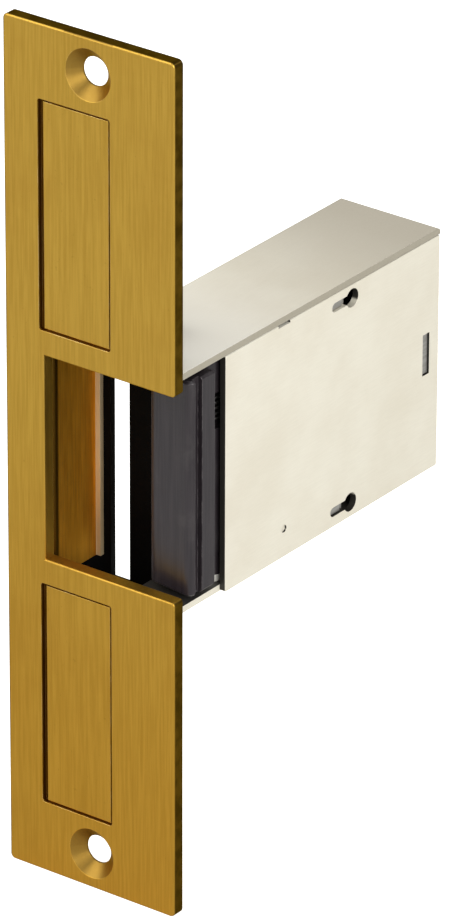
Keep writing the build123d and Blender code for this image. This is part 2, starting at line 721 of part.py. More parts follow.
with BuildPart() as plunger_clip:
    with BuildSketch(facing_plane(CLIP_Y)):
        with Locations((COIL_X, 0)):
            Circle(CLIP_RADIUS)
            Circle(GROOVE_RADIUS + THREAD_GAP, mode=Mode.SUBTRACT)
        with Locations((COIL_X, -CLIP_RADIUS / 2)):
            Rectangle(CLIP_MOUTH, CLIP_RADIUS, mode=Mode.SUBTRACT)
    extrude(amount=-CLIP_THICK)
plunger_clip.part.label = "plunger_clip"
export_step(plunger_clip.part, "parts/plunger_clip.step")

spring_room = YOKE_FRONT - CLIP_Y - CLIP_THICK

with BuildPart() as plunger_spring:
    with BuildLine():
        return_coil = Helix(
            pitch=RETURN_PITCH,
            height=spring_room - 2 * RETURN_END_GAP,
            radius=RETURN_COIL_RADIUS,
            center=(COIL_X, CLIP_Y + CLIP_THICK + RETURN_END_GAP, 0),
            direction=(0, 1, 0),
        )
    with BuildSketch(Plane(origin=return_coil @ 0, z_dir=return_coil % 0)):
        Circle(RETURN_WIRE_RADIUS)
    sweep()
plunger_spring.part.label = "plunger_spring"
export_step(plunger_spring.part, "parts/plunger_spring.step")

# -------------------------------------------------------------------- solenoid
tab_left = YOKE_RIGHT - TAB_ROOT
tab_right = CASE_RIGHT - TAB_SETBACK

with BuildPart() as solenoid_yoke:
    with BuildSketch(Plane.XY.offset(-YOKE_HALF)):
        with BuildLine():
            FilletPolyline(
                (YOKE_RIGHT, YOKE_FRONT + YOKE_THICK / 2),
                (INNER_LEFT + YOKE_THICK / 2, YOKE_FRONT + YOKE_THICK / 2),
                (INNER_LEFT + YOKE_THICK / 2, yoke_leg_y),
                (YOKE_RIGHT, yoke_leg_y),
                radius=YOKE_BEND,
            )
        trace(line_width=YOKE_THICK)
    extrude(amount=2 * YOKE_HALF)
    # Tab that reaches into the side cover.
    with BuildSketch(facing_plane(YOKE_BACK - YOKE_THICK)):
        with Locations(((tab_left + tab_right) / 2, 0)):
            Rectangle(tab_right - tab_left, 2 * TAB_HALF)
    extrude(amount=-YOKE_THICK)
    # Hole for the plunger in front, seat for the pole piece behind.
    with BuildSketch(facing_plane(YOKE_FRONT)):
        with Locations((COIL_X, 0)):
            Circle(PLUNGER_RADIUS + YOKE_HOLE_GAP)
    extrude(amount=-YOKE_THICK, mode=Mode.SUBTRACT)
    with BuildSketch(facing_plane(YOKE_BACK - YOKE_THICK)):
        with Locations((COIL_X, 0)):
            Circle(POLE_STEM_RADIUS)
    extrude(amount=-YOKE_THICK, mode=Mode.SUBTRACT)
    with BuildSketch(side_plane(INNER_LEFT)):
        with Locations(*[(y, 0) for y in YOKE_SCREW_Y]):
            Circle(STUD_RADIUS)
    extrude(amount=YOKE_THICK, mode=Mode.SUBTRACT)
solenoid_yoke.part.label = "solenoid_yoke"
export_step(solenoid_yoke.part, "parts/solenoid_yoke.step")

coil_front = YOKE_FRONT + YOKE_THICK + COIL_END_GAP
coil_back = YOKE_BACK - YOKE_THICK - COIL_END_GAP

with BuildPart() as bobbin:
    with BuildSketch(facing_plane(coil_front)):
        with Locations((COIL_X, 0)):
            Circle(BOBBIN_TUBE)
    extrude(amount=-(coil_back - coil_front))
    for flange_front in (coil_front, coil_back - BOBBIN_WALL):
        with BuildSketch(facing_plane(flange_front)):
            with Locations((COIL_X, 0)):
                Circle(BOBBIN_FLANGE)
        extrude(amount=-BOBBIN_WALL)
    with BuildSketch(facing_plane(coil_front)):
        with Locations((COIL_X, 0)):
            Circle(PLUNGER_RADIUS + BOBBIN_GAP)
    extrude(amount=-(coil_back - coil_front), mode=Mode.SUBTRACT)
bobbin.part.label = "bobbin"
export_step(bobbin.part, "parts/bobbin.step")

winding_front = coil_front + BOBBIN_WALL
winding_length = coil_back - coil_front - 2 * BOBBIN_WALL

with BuildPart() as winding:
    with BuildSketch(facing_plane(winding_front + COIL_GAP)):
        with Locations((COIL_X, 0)):
            Circle(WINDING_RADIUS)
            Circle(BOBBIN_TUBE + COIL_GAP, mode=Mode.SUBTRACT)
    extrude(amount=-(winding_length - 2 * COIL_GAP))
winding.part.label = "winding"
export_step(winding.part, "parts/winding.step")

with BuildPart() as coil_wrap:
    with BuildSketch(facing_plane(winding_front + COIL_END_GAP)):
        with Locations((COIL_X, 0)):
            Circle(WRAP_RADIUS)
            Circle(WINDING_RADIUS + COIL_GAP, mode=Mode.SUBTRACT)
    extrude(amount=-(winding_length - 2 * COIL_END_GAP))
coil_wrap.part.label = "coil_wrap"
export_step(coil_wrap.part, "parts/coil_wrap.step")

with BuildPart() as pole_piece:
    with BuildSketch(facing_plane(POLE_FACE)):
        with Locations((COIL_X, 0)):
            Circle(PLUNGER_RADIUS + POLE_SEAT_GAP)
    extrude(amount=-(YOKE_BACK - YOKE_THICK - POLE_FACE))
    with BuildSketch(facing_plane(YOKE_BACK - YOKE_THICK)):
        with Locations((COIL_X, 0)):
            Circle(POLE_STEM_RADIUS)
    extrude(amount=-YOKE_THICK)
pole_piece.part.label = "pole_piece"
export_step(pole_piece.part, "parts/pole_piece.step")

with BuildPart() as solenoid_screws:
    with BuildSketch(side_plane(CASE_LEFT)):
        with Locations(*[(y, 0) for y in YOKE_SCREW_Y]):
            Circle(SCREW_HEAD_RADIUS)
    extrude(amount=-SCREW_HEAD)
    fillet(solenoid_screws.faces().group_by(Axis.X)[0].edges(), radius=SCREW_HEAD_ROUND)
    with BuildSketch(side_plane(CASE_LEFT - SCREW_HEAD)):
        with Locations(*[(y, 0) for y in YOKE_SCREW_Y]):
            Rectangle(CROSS_LENGTH, CROSS_WIDTH)
            Rectangle(CROSS_WIDTH, CROSS_LENGTH)
    extrude(amount=CROSS_DEPTH, mode=Mode.SUBTRACT)
    with BuildSketch(side_plane(CASE_LEFT)):
        with Locations(*[(y, 0) for y in YOKE_SCREW_Y]):
            Circle(STUD_RADIUS - THREAD_GAP)
    extrude(amount=SHEET + YOKE_THICK)
solenoid_screws.part.label = "solenoid_screws"
export_step(solenoid_screws.part, "parts/solenoid_screws.step")

# ------------------------------------------------------------------- terminals
with BuildPart() as terminal_block:
    with BuildSketch(side_plane(CASE_LEFT)):
        with Locations(((BLOCK_FRONT + BLOCK_BACK) / 2, (BLOCK_LOW + BLOCK_HIGH) / 2)):
            RectangleRounded(BLOCK_BACK - BLOCK_FRONT, BLOCK_HIGH - BLOCK_LOW, BLOCK_CORNER)
    extrude(amount=-(CASE_LEFT - BLOCK_LEFT))
    # Two wells, open below for the wires, with a barrier between them.
    with BuildSketch(side_plane(BLOCK_LEFT)):
        with Locations(*[(y, (BLOCK_LOW + WELL_TOP) / 2) for y in TERMINAL_Y]):
            Rectangle(WELL_WIDTH, WELL_TOP - BLOCK_LOW)
    extrude(amount=WELL_DEPTH, mode=Mode.SUBTRACT)
    # Boss that fills the window in the wall.
    with BuildSketch(side_plane(CASE_LEFT)):
        with Locations((window_y, (WINDOW_LOW + WINDOW_HIGH) / 2)):
            Rectangle(window_length - 2 * WINDOW_GAP, WINDOW_HIGH - WINDOW_LOW - 2 * WINDOW_GAP)
    extrude(amount=SHEET)
    with BuildSketch(side_plane(BLOCK_LEFT)):
        with Locations(*[(y, TERMINAL_Z) for y in TERMINAL_Y]):
            Circle(TERMINAL_BLOCK_HOLE)
        with Locations(*[(y, RIVET_Z) for y in TERMINAL_Y]):
            Circle(RIVET_HOLE_RADIUS)
    extrude(amount=INNER_LEFT - BLOCK_LEFT, mode=Mode.SUBTRACT)
terminal_block.part.label = "terminal_block"
export_step(terminal_block.part, "parts/terminal_block.step")

with BuildPart() as terminal_plates:
    with BuildSketch(side_plane(INNER_LEFT)):
        with Locations(*[(y, TERMINAL_Z + TERMINAL_PLATE_RISE) for y in TERMINAL_Y]):
            Rectangle(*TERMINAL_PLATE)
        with Locations(*[(y, TERMINAL_Z) for y in TERMINAL_Y]):
            Circle(TERMINAL_PLATE_HOLE, mode=Mode.SUBTRACT)
    extrude(amount=TERMINAL_PLATE_THICK)
terminal_plates.part.label = "terminal_plates"
export_step(terminal_plates.part, "parts/terminal_plates.step")

well_floor = BLOCK_LEFT + WELL_DEPTH

with BuildPart() as terminal_screws:
    with BuildSketch(side_plane(well_floor)):
        with Locations(*[(y, TERMINAL_Z) for y in TERMINAL_Y]):
            Circle(TERMINAL_HEAD_RADIUS)
    extrude(amount=-TERMINAL_HEAD)
    fillet(terminal_screws.faces().group_by(Axis.X)[0].edges(), radius=TERMINAL_HEAD_ROUND)
    with BuildSketch(side_plane(well_floor - TERMINAL_HEAD)):
        with Locations(*[(y, TERMINAL_Z) for y in TERMINAL_Y]):
            Rectangle(2 * TERMINAL_HEAD_RADIUS, TERMINAL_DRIVE_WIDTH)
    extrude(amount=TERMINAL_DRIVE_DEPTH, mode=Mode.SUBTRACT)
    with BuildSketch(side_plane(well_floor)):
        with Locations(*[(y, TERMINAL_Z) for y in TERMINAL_Y]):
            Circle(TERMINAL_RADIUS)
    extrude(amount=INNER_LEFT + TERMINAL_PLATE_THICK - well_floor)
terminal_screws.part.label = "terminal_screws"
export_step(terminal_screws.part, "parts/terminal_screws.step")

with BuildPart() as terminal_rivets:
    with BuildSketch(side_plane(BLOCK_LEFT - RIVET_HEAD)):
        with Locations(*[(y, RIVET_Z) for y in TERMINAL_Y]):
            Circle(RIVET_HEAD_RADIUS)
    extrude(amount=RIVET_HEAD)
    with BuildSketch(side_plane(BLOCK_LEFT)):
        with Locations(*[(y, RIVET_Z) for y in TERMINAL_Y]):
            Circle(RIVET_RADIUS)
    extrude(amount=INNER_LEFT - BLOCK_LEFT)
    with BuildSketch(side_plane(INNER_LEFT)):
        with Locations(*[(y, RIVET_Z) for y in TERMINAL_Y]):
            Circle(RIVET_TAIL_RADIUS)
    extrude(amount=RIVET_HEAD)
terminal_rivets.part.label = "terminal_rivets"
export_step(terminal_rivets.part, "parts/terminal_rivets.step")

# Wires from the terminal plates, bent down onto the coil.
lead_start_x = INNER_LEFT + TERMINAL_PLATE_THICK + LEAD_GAP
lead_end = around((COIL_X, 0), WRAP_RADIUS + LEAD_RADIUS + LEAD_GAP, LEAD_END_ANGLE)
lead_z = TERMINAL_Z + LEAD_RISE

with BuildPart() as coil_leads:
    for y in TERMINAL_Y:
        with BuildLine(facing_plane(y)) as lead_path:
            FilletPolyline(
                (lead_start_x, lead_z),
                (lead_end[0], lead_z),
                lead_end,
                radius=LEAD_BEND,
            )
        lead_wire = lead_path.wires()[0]
        with BuildSketch(Plane(origin=lead_wire @ 0, z_dir=lead_wire % 0)):
            Circle(LEAD_RADIUS)
        sweep(path=lead_wire)
coil_leads.part.label = "coil_leads"
export_step(coil_leads.part, "parts/coil_leads.step")
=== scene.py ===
"""Looks of the electric door strike: materials, finer hardware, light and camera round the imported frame."""

import json
import math

import bmesh
import bpy
from mathutils import Matrix, Vector


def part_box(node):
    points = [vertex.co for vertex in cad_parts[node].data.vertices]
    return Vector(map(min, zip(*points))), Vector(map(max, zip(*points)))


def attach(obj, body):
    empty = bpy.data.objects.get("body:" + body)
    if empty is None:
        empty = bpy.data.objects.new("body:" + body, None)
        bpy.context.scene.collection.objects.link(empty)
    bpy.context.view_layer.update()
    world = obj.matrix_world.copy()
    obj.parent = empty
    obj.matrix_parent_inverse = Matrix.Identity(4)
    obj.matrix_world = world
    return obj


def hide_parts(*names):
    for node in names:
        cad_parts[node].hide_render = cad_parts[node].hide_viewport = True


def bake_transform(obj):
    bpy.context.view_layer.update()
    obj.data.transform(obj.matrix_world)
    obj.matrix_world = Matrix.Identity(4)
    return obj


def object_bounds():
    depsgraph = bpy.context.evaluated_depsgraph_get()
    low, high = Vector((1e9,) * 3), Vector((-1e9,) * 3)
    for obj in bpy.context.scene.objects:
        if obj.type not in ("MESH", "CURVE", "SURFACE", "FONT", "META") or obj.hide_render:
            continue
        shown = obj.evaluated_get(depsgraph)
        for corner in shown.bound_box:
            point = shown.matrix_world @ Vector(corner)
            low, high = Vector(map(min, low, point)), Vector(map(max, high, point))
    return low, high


MM = 0.001

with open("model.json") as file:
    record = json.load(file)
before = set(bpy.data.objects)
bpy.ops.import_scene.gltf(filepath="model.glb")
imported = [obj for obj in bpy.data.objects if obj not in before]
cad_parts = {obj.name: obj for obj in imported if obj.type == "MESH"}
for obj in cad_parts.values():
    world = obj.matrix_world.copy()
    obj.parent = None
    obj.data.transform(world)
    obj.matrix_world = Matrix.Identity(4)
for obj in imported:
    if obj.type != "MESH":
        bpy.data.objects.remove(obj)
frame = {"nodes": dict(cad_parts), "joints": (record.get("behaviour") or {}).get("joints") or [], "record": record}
cad_low, cad_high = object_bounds()

# --- Camera, set for the viewing angle -----------------------------------------
VIEW_AZIMUTH = 37.88
VIEW_ELEVATION = 26.32
VIEW_ROLL = 0.19
VIEW_DISTANCE = 1352 * MM
VIEW_LENS = 320.0
AIM_RIGHT = 22.4 * MM
AIM_UP = 1.9 * MM
SENSOR_WIDTH = 36.0
CLIP_START = 0.05
CLIP_END = 30.0

# --- Floor and lights: places and sizes in metres, power in watts ----------------
FLOOR_SIZE = 6.0
FLOOR_BOUNCE = 0.66
FLOOR_GLOW = 0.8
WORLD_COLOUR = (1.0, 0.99, 0.97, 1.0)
WORLD_STRENGTH = 0.37
AIM_POINT = (0.0, 0.02, 0.0)
LIGHTS = (
    # name, place, target, size, power
    ("key", (0.75, -0.30, 0.50), AIM_POINT, (0.8, 0.8), 8.3),
    ("top", (-0.60, -0.45, 0.80), AIM_POINT, (1.1, 1.1), 8.4),
    ("front", (-0.35, -0.9, 0.35), (0.0, 0.0, 0.0), (0.5, 0.8), 1.2),
)

# --- Zones of the materials, in the part's own frame -------------------------------
plate_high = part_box("faceplate")[1]
PLATE_SIDE = plate_high.x
PLATE_END = plate_high.z
PLATE_BACK = plate_high.y
SINK_HALF_WIDTH = 4.8 * MM
SINK_START = 66.2 * MM
PANEL_HALF_WIDTH = 10.6 * MM
PANEL_START = 21.5 * MM
GROOVE_TOP = 0.28 * MM
GROOVE_END = 1.3 * MM
LEFT_GROOVE = -9.1 * MM
LINER_ROOT = 4.1 * MM
LINER_LIP = 13.75 * MM
CASE_MIDDLE = (7.0 * MM, 42.0 * MM, 0.0)
TONGUE_END = 13.0 * MM
ROOF_UNDER = 21.0 * MM


# =============================================================== node helpers
INPUTS = {
    "specular_IOR_level": "Specular IOR Level",
    "coat_weight": "Coat Weight",
    "specular_tint": "Specular Tint",
}


class Shader:
    """One material's node tree, built a node at a time."""

    def __init__(self, name):
        self.material = bpy.data.materials.new(name)
        self.material.use_nodes = True
        self.tree = self.material.node_tree
        self.tree.nodes.clear()
        self.output = self.tree.nodes.new("ShaderNodeOutputMaterial")
        self.place = self.add("ShaderNodeTexCoord").outputs["Object"]

    def add(self, kind, inputs=None, **settings):
        """A node of this kind; an input is a number, a colour or another node's output."""
        node = self.tree.nodes.new(kind)
        for key, value in settings.items():
            setattr(node, key, value)
        for key, value in (inputs or {}).items():
            if isinstance(value, bpy.types.NodeSocket):
                self.tree.links.new(value, node.inputs[key])
            else:
                node.inputs[key].default_value = value
        return node

    def noise(self, scale, detail=3.0, stretch=None, distortion=0.0, roughness=0.5):
        """Noise from 0 to 1, scale in features per metre, stretched by a factor on each axis."""
        place = self.place
        if stretch:
            place = self.add("ShaderNodeMapping", {"Vector": place, "Scale": stretch}).outputs[0]
        node = self.add(
            "ShaderNodeTexNoise",
            {
                "Vector": place,
                "Scale": scale,
                "Detail": detail,
                "Roughness": roughness,
                "Distortion": distortion,
            },
        )
        return node.outputs["Fac"]

    def math(self, operation, a, b=0.0, clamp=False):
        node = self.add("ShaderNodeMath", {0: a, 1: b}, operation=operation, use_clamp=clamp)
        return node.outputs[0]

    def product(self, first, *others):
        """The values multiplied together."""
        for other in others:
            first = self.math("MULTIPLY", first, other)
        return first

    def inverse(self, value):
        """1 less the value."""
        return self.math("SUBTRACT", 1.0, value)

    def spread(self, value, low, high, out_low=0.0, out_high=1.0):
        """value from low..high mapped to out_low..out_high, and held there beyond."""
        node = self.add(
            "ShaderNodeMapRange",
            {"Value": value, 1: low, 2: high, 3: out_low, 4: out_high},
            interpolation_type="SMOOTHSTEP",
        )
        return node.outputs[0]

    def blend(self, share, a, b, mode="MIX"):
        node = self.add("ShaderNodeMix", data_type="RGBA", blend_type=mode)
        for socket, value in ((node.inputs[0], share), (node.inputs[6], a), (node.inputs[7], b)):
            if isinstance(value, bpy.types.NodeSocket):
                self.tree.links.new(value, socket)
            else:
                socket.default_value = value if isinstance(value, float) else (*value, 1.0)
        return node.outputs[2]

    def axis(self, letter):
        """The place along X, Y or Z in the part's frame, in metres."""
        return self.add("ShaderNodeSeparateXYZ", {0: self.place}).outputs[letter]

    def distance(self, letter):
        """The distance along an axis from the part's middle, in metres."""
        return self.math("ABSOLUTE", self.axis(letter))

    def facing(self, letter):
        """How far the surface faces along +X, +Y or +Z at rest."""
        normal = self.add("ShaderNodeTexCoord").outputs["Normal"]
        return self.add("ShaderNodeSeparateXYZ", {0: normal}).outputs[letter]

    def rounded(self, radius):
        """The normal with its sharp edges eased, and a mask that is 1 on those edges."""
        soft = self.add("ShaderNodeBevel", {"Radius": radius}, samples=6).outputs[0]
        hard = self.add("ShaderNodeNewGeometry").outputs["Normal"]
        dot = self.add("ShaderNodeVectorMath", {0: soft, 1: hard}, operation="DOT_PRODUCT")
        return soft, self.spread(dot.outputs["Value"], 0.995, 0.85)

    def finish(self, colour, roughness, metallic, height, depth, normal, **extra):
        """The principled surface with its bump, wired to the output."""
        bump = self.add(
            "ShaderNodeBump",
            {"Height": height, "Distance": depth, "Strength": 1.0, "Normal": normal},
        )
        surface = self.add(
            "ShaderNodeBsdfPrincipled",
            {
                "Base Color": colour,
                "Roughness": roughness,
                "Metallic": metallic,
                "Normal": bump.outputs[0],
                **{INPUTS[key]: value for key, value in extra.items()},
            },
        )
        self.tree.links.new(surface.outputs[0], self.output.inputs[0])
        return self.material


# ================================================================== materials
def brushed_metal(
    name, light, dark, worn, grain, roughness,
    edge=0.12 * MM, tarnish=None, zones=None, rim=(1.0, 1.0, 1.0),
):
    """Metal with a fine grain along one axis, faint tarnish clouds, specks and rubbed edges.
    zones(shader, colour) may change whole regions of the part: it gives the colour and metallic."""
    s = Shader(name)
    fine = s.noise(9000, 2.0, stretch=grain)
    coarse = s.noise(2200, 3.0, stretch=grain)
    clouds = s.noise(45, 4.0, roughness=0.6)
    specks = s.spread(s.noise(1500, 2.0), 0.68, 0.78)
    soft, edges = s.rounded(edge)
    rubbed = s.math("MULTIPLY", edges, s.spread(s.noise(260, 3.0), 0.35, 0.65), clamp=True)
    colour = s.blend(s.spread(coarse, 0.3, 0.7), dark, light)
    colour = s.blend(s.product(s.spread(clouds, 0.45, 0.75), 0.35), colour, tarnish or dark)
    colour = s.blend(s.product(specks, 0.25), colour, tuple(0.5 * c for c in dark))
    colour = s.blend(s.product(rubbed, 0.7), colour, worn)
    metallic = 1.0
    if zones:
        colour, metallic = zones(s, colour)
    rough = s.math("ADD", s.spread(fine, 0.25, 0.75, roughness - 0.05, roughness + 0.07),
                   s.spread(clouds, 0.4, 0.8, 0.0, 0.06))
    height = s.math("ADD", s.product(fine, 0.5), s.product(coarse, 0.5))
    return s.finish(colour, rough, metallic, height, 0.006 * MM, soft, specular_tint=(*rim, 1.0))


def outer_sides_and_rim_shade(s):
    """1 on the plate's outer cut sides, and on the rim of its left side, where painted shade goes."""
    side = s.spread(s.distance("X"), PLATE_SIDE - 0.40 * MM, PLATE_SIDE - 0.10 * MM)
    end = s.spread(s.distance("Z"), PLATE_END - 0.45 * MM, PLATE_END - 0.15 * MM)
    behind_rim = s.spread(s.axis("Y"), 0.12 * MM, 0.45 * MM)
    left_rim_shade = s.spread(s.axis("X"), 0.40 * MM - PLATE_SIDE, 0.20 * MM - PLATE_SIDE)
    cut = s.product(s.math("MAXIMUM", side, end), behind_rim)
    return s.math("MAXIMUM", cut, s.product(left_rim_shade, 0.8))


def countersink_shade(s):
    """1 on the screw holes' cones, where painted shade goes."""
    across = s.inverse(s.spread(s.distance("X"), SINK_HALF_WIDTH, SINK_HALF_WIDTH + 0.4 * MM))
    beyond = s.spread(s.distance("Z"), SINK_START, SINK_START + 0.4 * MM)
    below_face = s.spread(s.axis("Y"), 0.04 * MM, 0.10 * MM)
    above_back = s.spread(s.axis("Y"), PLATE_BACK - 0.02 * MM, PLATE_BACK - 0.10 * MM)
    return s.product(across, beyond, below_face, above_back)


def panel_groove_shade(s):
    """How much painted shade lies in the sheared grooves round the panels: most on the left."""
    across = s.inverse(s.spread(s.distance("X"), PANEL_HALF_WIDTH, PANEL_HALF_WIDTH + 0.6 * MM))
    above = s.spread(s.distance("Z"), PANEL_START, PANEL_START + 1.0 * MM)
    below = s.inverse(s.spread(s.distance("Z"), SINK_START, SINK_START + 0.4 * MM))
    top = s.spread(s.axis("Y"), GROOVE_TOP, GROOVE_TOP + 0.12 * MM)
    bottom = s.spread(s.axis("Y"), GROOVE_END, GROOVE_END - 0.15 * MM)
    left = s.spread(s.axis("X"), LEFT_GROOVE, LEFT_GROOVE - 0.3 * MM, 0.30, 0.80)
    return s.product(across, above, below, top, bottom, left)


def faceplate_zones(s, colour):
    """Redder lower half, painted shade in the countersinks and the grooves, nearly black outer sides, and painted
    shade on the left rim.
    """
    low = s.spread(s.axis("Z"), 20 * MM, -60 * MM)
    redder = s.blend(1.0, colour, (0.91, 0.80, 0.59), "MULTIPLY")
    colour = s.blend(s.product(low, 0.8), colour, redder)
    # Painted shade: darker brass in the countersinks' cones.
    colour = s.blend(s.product(countersink_shade(s), 0.85), colour, (0.30, 0.18, 0.036))
    # Painted shade in the panel grooves, strongest in the left groove.
    colour = s.blend(panel_groove_shade(s), colour, (0.10, 0.040, 0.003))
    patches = s.spread(s.noise(420, 4.0), 0.3, 0.7, 0.86, 1.0)
    # Nearly black on the outer cut sides, with painted shade on the left rim.
    return s.blend(s.product(outer_sides_and_rim_shade(s), patches), colour, (0.062, 0.036, 0.008)), 1.0


def satin_brass():
    return brushed_metal(
        "satin_brass",
        light=(0.62, 0.385, 0.067), dark=(0.53, 0.320, 0.051), worn=(0.88, 0.68, 0.32),
        grain=(1.0, 1.0, 0.035), roughness=0.40, tarnish=(0.47, 0.267, 0.042), edge=0.18 * MM,
        zones=faceplate_zones, rim=(0.95, 0.72, 0.34),
    )


def liner_zones(s, colour):
    """A painted highlight in streaks on the return lip, less metallic there, and painted shade at the root by the
    faceplate.
    """
    root_shade = s.spread(s.axis("Y"), LINER_ROOT, LINER_ROOT - 0.6 * MM)
    lip_highlight_zone = s.spread(s.axis("Y"), LINER_LIP, LINER_LIP + 0.2 * MM)
    streaks = s.spread(s.noise(700, 3.0, stretch=(1.0, 1.0, 0.05)), 0.3, 0.7, 0.75, 1.0)
    rubbed = s.product(lip_highlight_zone, streaks)
    # Painted shade at the liner's root beside the faceplate.
    colour = s.blend(root_shade, colour, (0.09, 0.045, 0.006))
    # Painted highlight: lighter, less metallic brass in streaks on the return lip.
    return s.blend(rubbed, colour, (0.80, 0.64, 0.40)), s.inverse(s.product(rubbed, 0.75))


def liner_brass():
    return brushed_metal(
        "liner_brass",
        light=(0.88, 0.44, 0.050), dark=(0.70, 0.32, 0.034), worn=(0.80, 0.50, 0.15),
        grain=(1.0, 1.0, 0.05), roughness=0.46, tarnish=(0.56, 0.24, 0.026), edge=0.10 * MM,
        zones=liner_zones, rim=(0.95, 0.72, 0.34),
    )


def inside_shade(s):
    """1 on faces that look towards the middle of the case, and on the cover's front cut edge: where painted shade
    goes inside the case.
    """
    from_middle = s.add("ShaderNodeVectorMath", {0: s.place, 1: CASE_MIDDLE}, operation="SUBTRACT")
    normal = s.add("ShaderNodeTexCoord").outputs["Normal"]
    facing = s.add("ShaderNodeVectorMath", {0: normal, 1: from_middle.outputs[0]}, operation="DOT_PRODUCT")
    inside = s.spread(facing.outputs["Value"], 0.0, -2.0 * MM)
    front = s.spread(s.facing("Y"), -0.8, -0.95)
    beyond_tongue = s.spread(s.axis("Y"), TONGUE_END, TONGUE_END + 0.5 * MM)
    return s.math("MAXIMUM", inside, s.product(front, beyond_tongue))


def case_cream():
    """Pale passivated sheet: a soft sheen, cloudy tint, painted light and shade along the roof, painted shade on
    the roof's cut edge and inside the case.
    """
    s = Shader("case_cream")
    grain = s.noise(5200, 2.0, stretch=(1.0, 0.06, 1.0))
    clouds = s.noise(60, 4.0, roughness=0.55)
    pores = s.noise(2600, 3.0)
    soft, edges = s.rounded(0.12 * MM)
    colour = s.blend(s.spread(clouds, 0.3, 0.7), (0.78, 0.73, 0.60), (0.84, 0.80, 0.675))
    colour = s.blend(s.product(s.spread(grain, 0.35, 0.7), 0.10), colour, (0.60, 0.56, 0.45))
    # Painted light on the roof: a painted highlight towards the front and painted shade towards the rear.
    roof = s.spread(s.facing("Z"), 0.7, 0.95)
    front = s.product(roof, s.spread(s.axis("Y"), 42 * MM, 8 * MM))
    roof_rear_shade = s.product(roof, s.spread(s.axis("Y"), 25 * MM, 74 * MM))
    colour = s.blend(front, colour, (1.0, 0.97, 0.87))
    colour = s.blend(s.product(roof_rear_shade, 0.85), colour, (0.43, 0.39, 0.31))
    # Painted shade on the cut edge face of the roof's sheet, which lies in shade.
    high = s.spread(s.axis("Z"), ROOF_UNDER, ROOF_UNDER + 0.3 * MM)
    side = s.spread(s.facing("X"), 0.8, 0.95)
    cut = s.product(high, side)
    colour = s.blend(s.product(cut, 0.8), colour, (0.30, 0.27, 0.20))
    colour = s.blend(s.product(edges, 0.22), colour, (0.93, 0.90, 0.80))
    # Painted shade: nearly black on the faces inside the case and on the cover's front cut edge.
    colour = s.blend(s.product(inside_shade(s), 0.97), colour, (0.008, 0.007, 0.006))
    rough = s.spread(pores, 0.3, 0.7, 0.36, 0.48)
    height = s.math("ADD", s.product(pores, 0.6), s.product(grain, 0.4))
    return s.finish(colour, rough, 0.12, height, 0.005 * MM, soft)


def black_paint(name, light, dark, roughness, worn, streak=None, gloss=0.5):
    """Black coating with a slight orange peel, dusty patches and bare metal on its edges."""
    s = Shader(name)
    peel = s.noise(1900, 3.0)
    drawn = s.noise(2600, 3.0, stretch=streak or (1.0, 1.0, 1.0))
    dust = s.noise(120, 5.0, roughness=0.65)
    soft, edges = s.rounded(0.15 * MM)
    rubbed = s.math("MULTIPLY", edges, s.spread(s.noise(420, 3.0), 0.45, 0.62), clamp=True)
    colour = s.blend(s.spread(drawn, 0.3, 0.7), dark, light)
    colour = s.blend(s.product(s.spread(dust, 0.5, 0.8), 0.5 * gloss), colour, (0.11, 0.10, 0.095))
    colour = s.blend(s.product(rubbed, 0.6), colour, worn)
    rough = s.spread(dust, 0.3, 0.8, roughness - 0.06, roughness + 0.10)
    metal = s.product(rubbed, 0.6)
    height = s.math("ADD", s.product(peel, 0.5), s.product(drawn, 0.5))
    return s.finish(colour, rough, metal, height, 0.012 * MM, soft, specular_IOR_level=gloss)


def black_keeper():
    return black_paint(
        "black_keeper", light=(0.027, 0.021, 0.024), dark=(0.015, 0.011, 0.014), roughness=0.36,
        worn=(0.30, 0.28, 0.28), streak=(1.0, 1.0, 0.03),
    )


# The strap's near-black, almost glossless coat is painted shade: it stands where the pocket lies in shade.
def black_strap():
    return black_paint(
        "black_strap", light=(0.003, 0.0025, 0.0022), dark=(0.0015, 0.0014, 0.0014), roughness=0.62,
        worn=(0.04, 0.04, 0.04), gloss=0.05,
    )


def inner_steel():
    return brushed_metal(
        "inner_steel", light=(0.56, 0.55, 0.52), dark=(0.44, 0.43, 0.40), worn=(0.74, 0.73, 0.70),
        grain=(1.0, 0.06, 1.0), roughness=0.42, tarnish=(0.36, 0.33, 0.29),
    )


def ground_steel():
    return brushed_metal(
        "ground_steel", light=(0.64, 0.64, 0.63), dark=(0.54, 0.54, 0.53), worn=(0.80, 0.80, 0.80),
        grain=(0.08, 1.0, 1.0), roughness=0.28,
    )


def spring_steel():
    return brushed_metal(
        "spring_steel", light=(0.24, 0.23, 0.22), dark=(0.15, 0.145, 0.14), worn=(0.46, 0.45, 0.43),
        grain=(1.0, 1.0, 1.0), roughness=0.34,
    )


def zinc_fixings():
    return brushed_metal(
        "zinc_fixings", light=(0.66, 0.66, 0.64), dark=(0.55, 0.55, 0.53), worn=(0.82, 0.82, 0.80),
        grain=(1.0, 1.0, 1.0), roughness=0.30, tarnish=(0.58, 0.57, 0.48),
    )


def bronze():
    return brushed_metal(
        "bronze", light=(0.50, 0.31, 0.12), dark=(0.38, 0.22, 0.08), worn=(0.70, 0.48, 0.22),
        grain=(1.0, 1.0, 1.0), roughness=0.46, tarnish=(0.28, 0.16, 0.06),
    )


def terminal_brass():
    return brushed_metal(
        "terminal_brass", light=(0.74, 0.56, 0.22), dark=(0.62, 0.45, 0.16), worn=(0.90, 0.76, 0.42),
        grain=(1.0, 1.0, 1.0), roughness=0.26,
    )


def copper_wire():
    return brushed_metal(
        "copper_wire", light=(0.62, 0.24, 0.09), dark=(0.46, 0.16, 0.055), worn=(0.78, 0.36, 0.16),
        grain=(1.0, 1.0, 1.0), roughness=0.24, edge=0.03 * MM,
    )


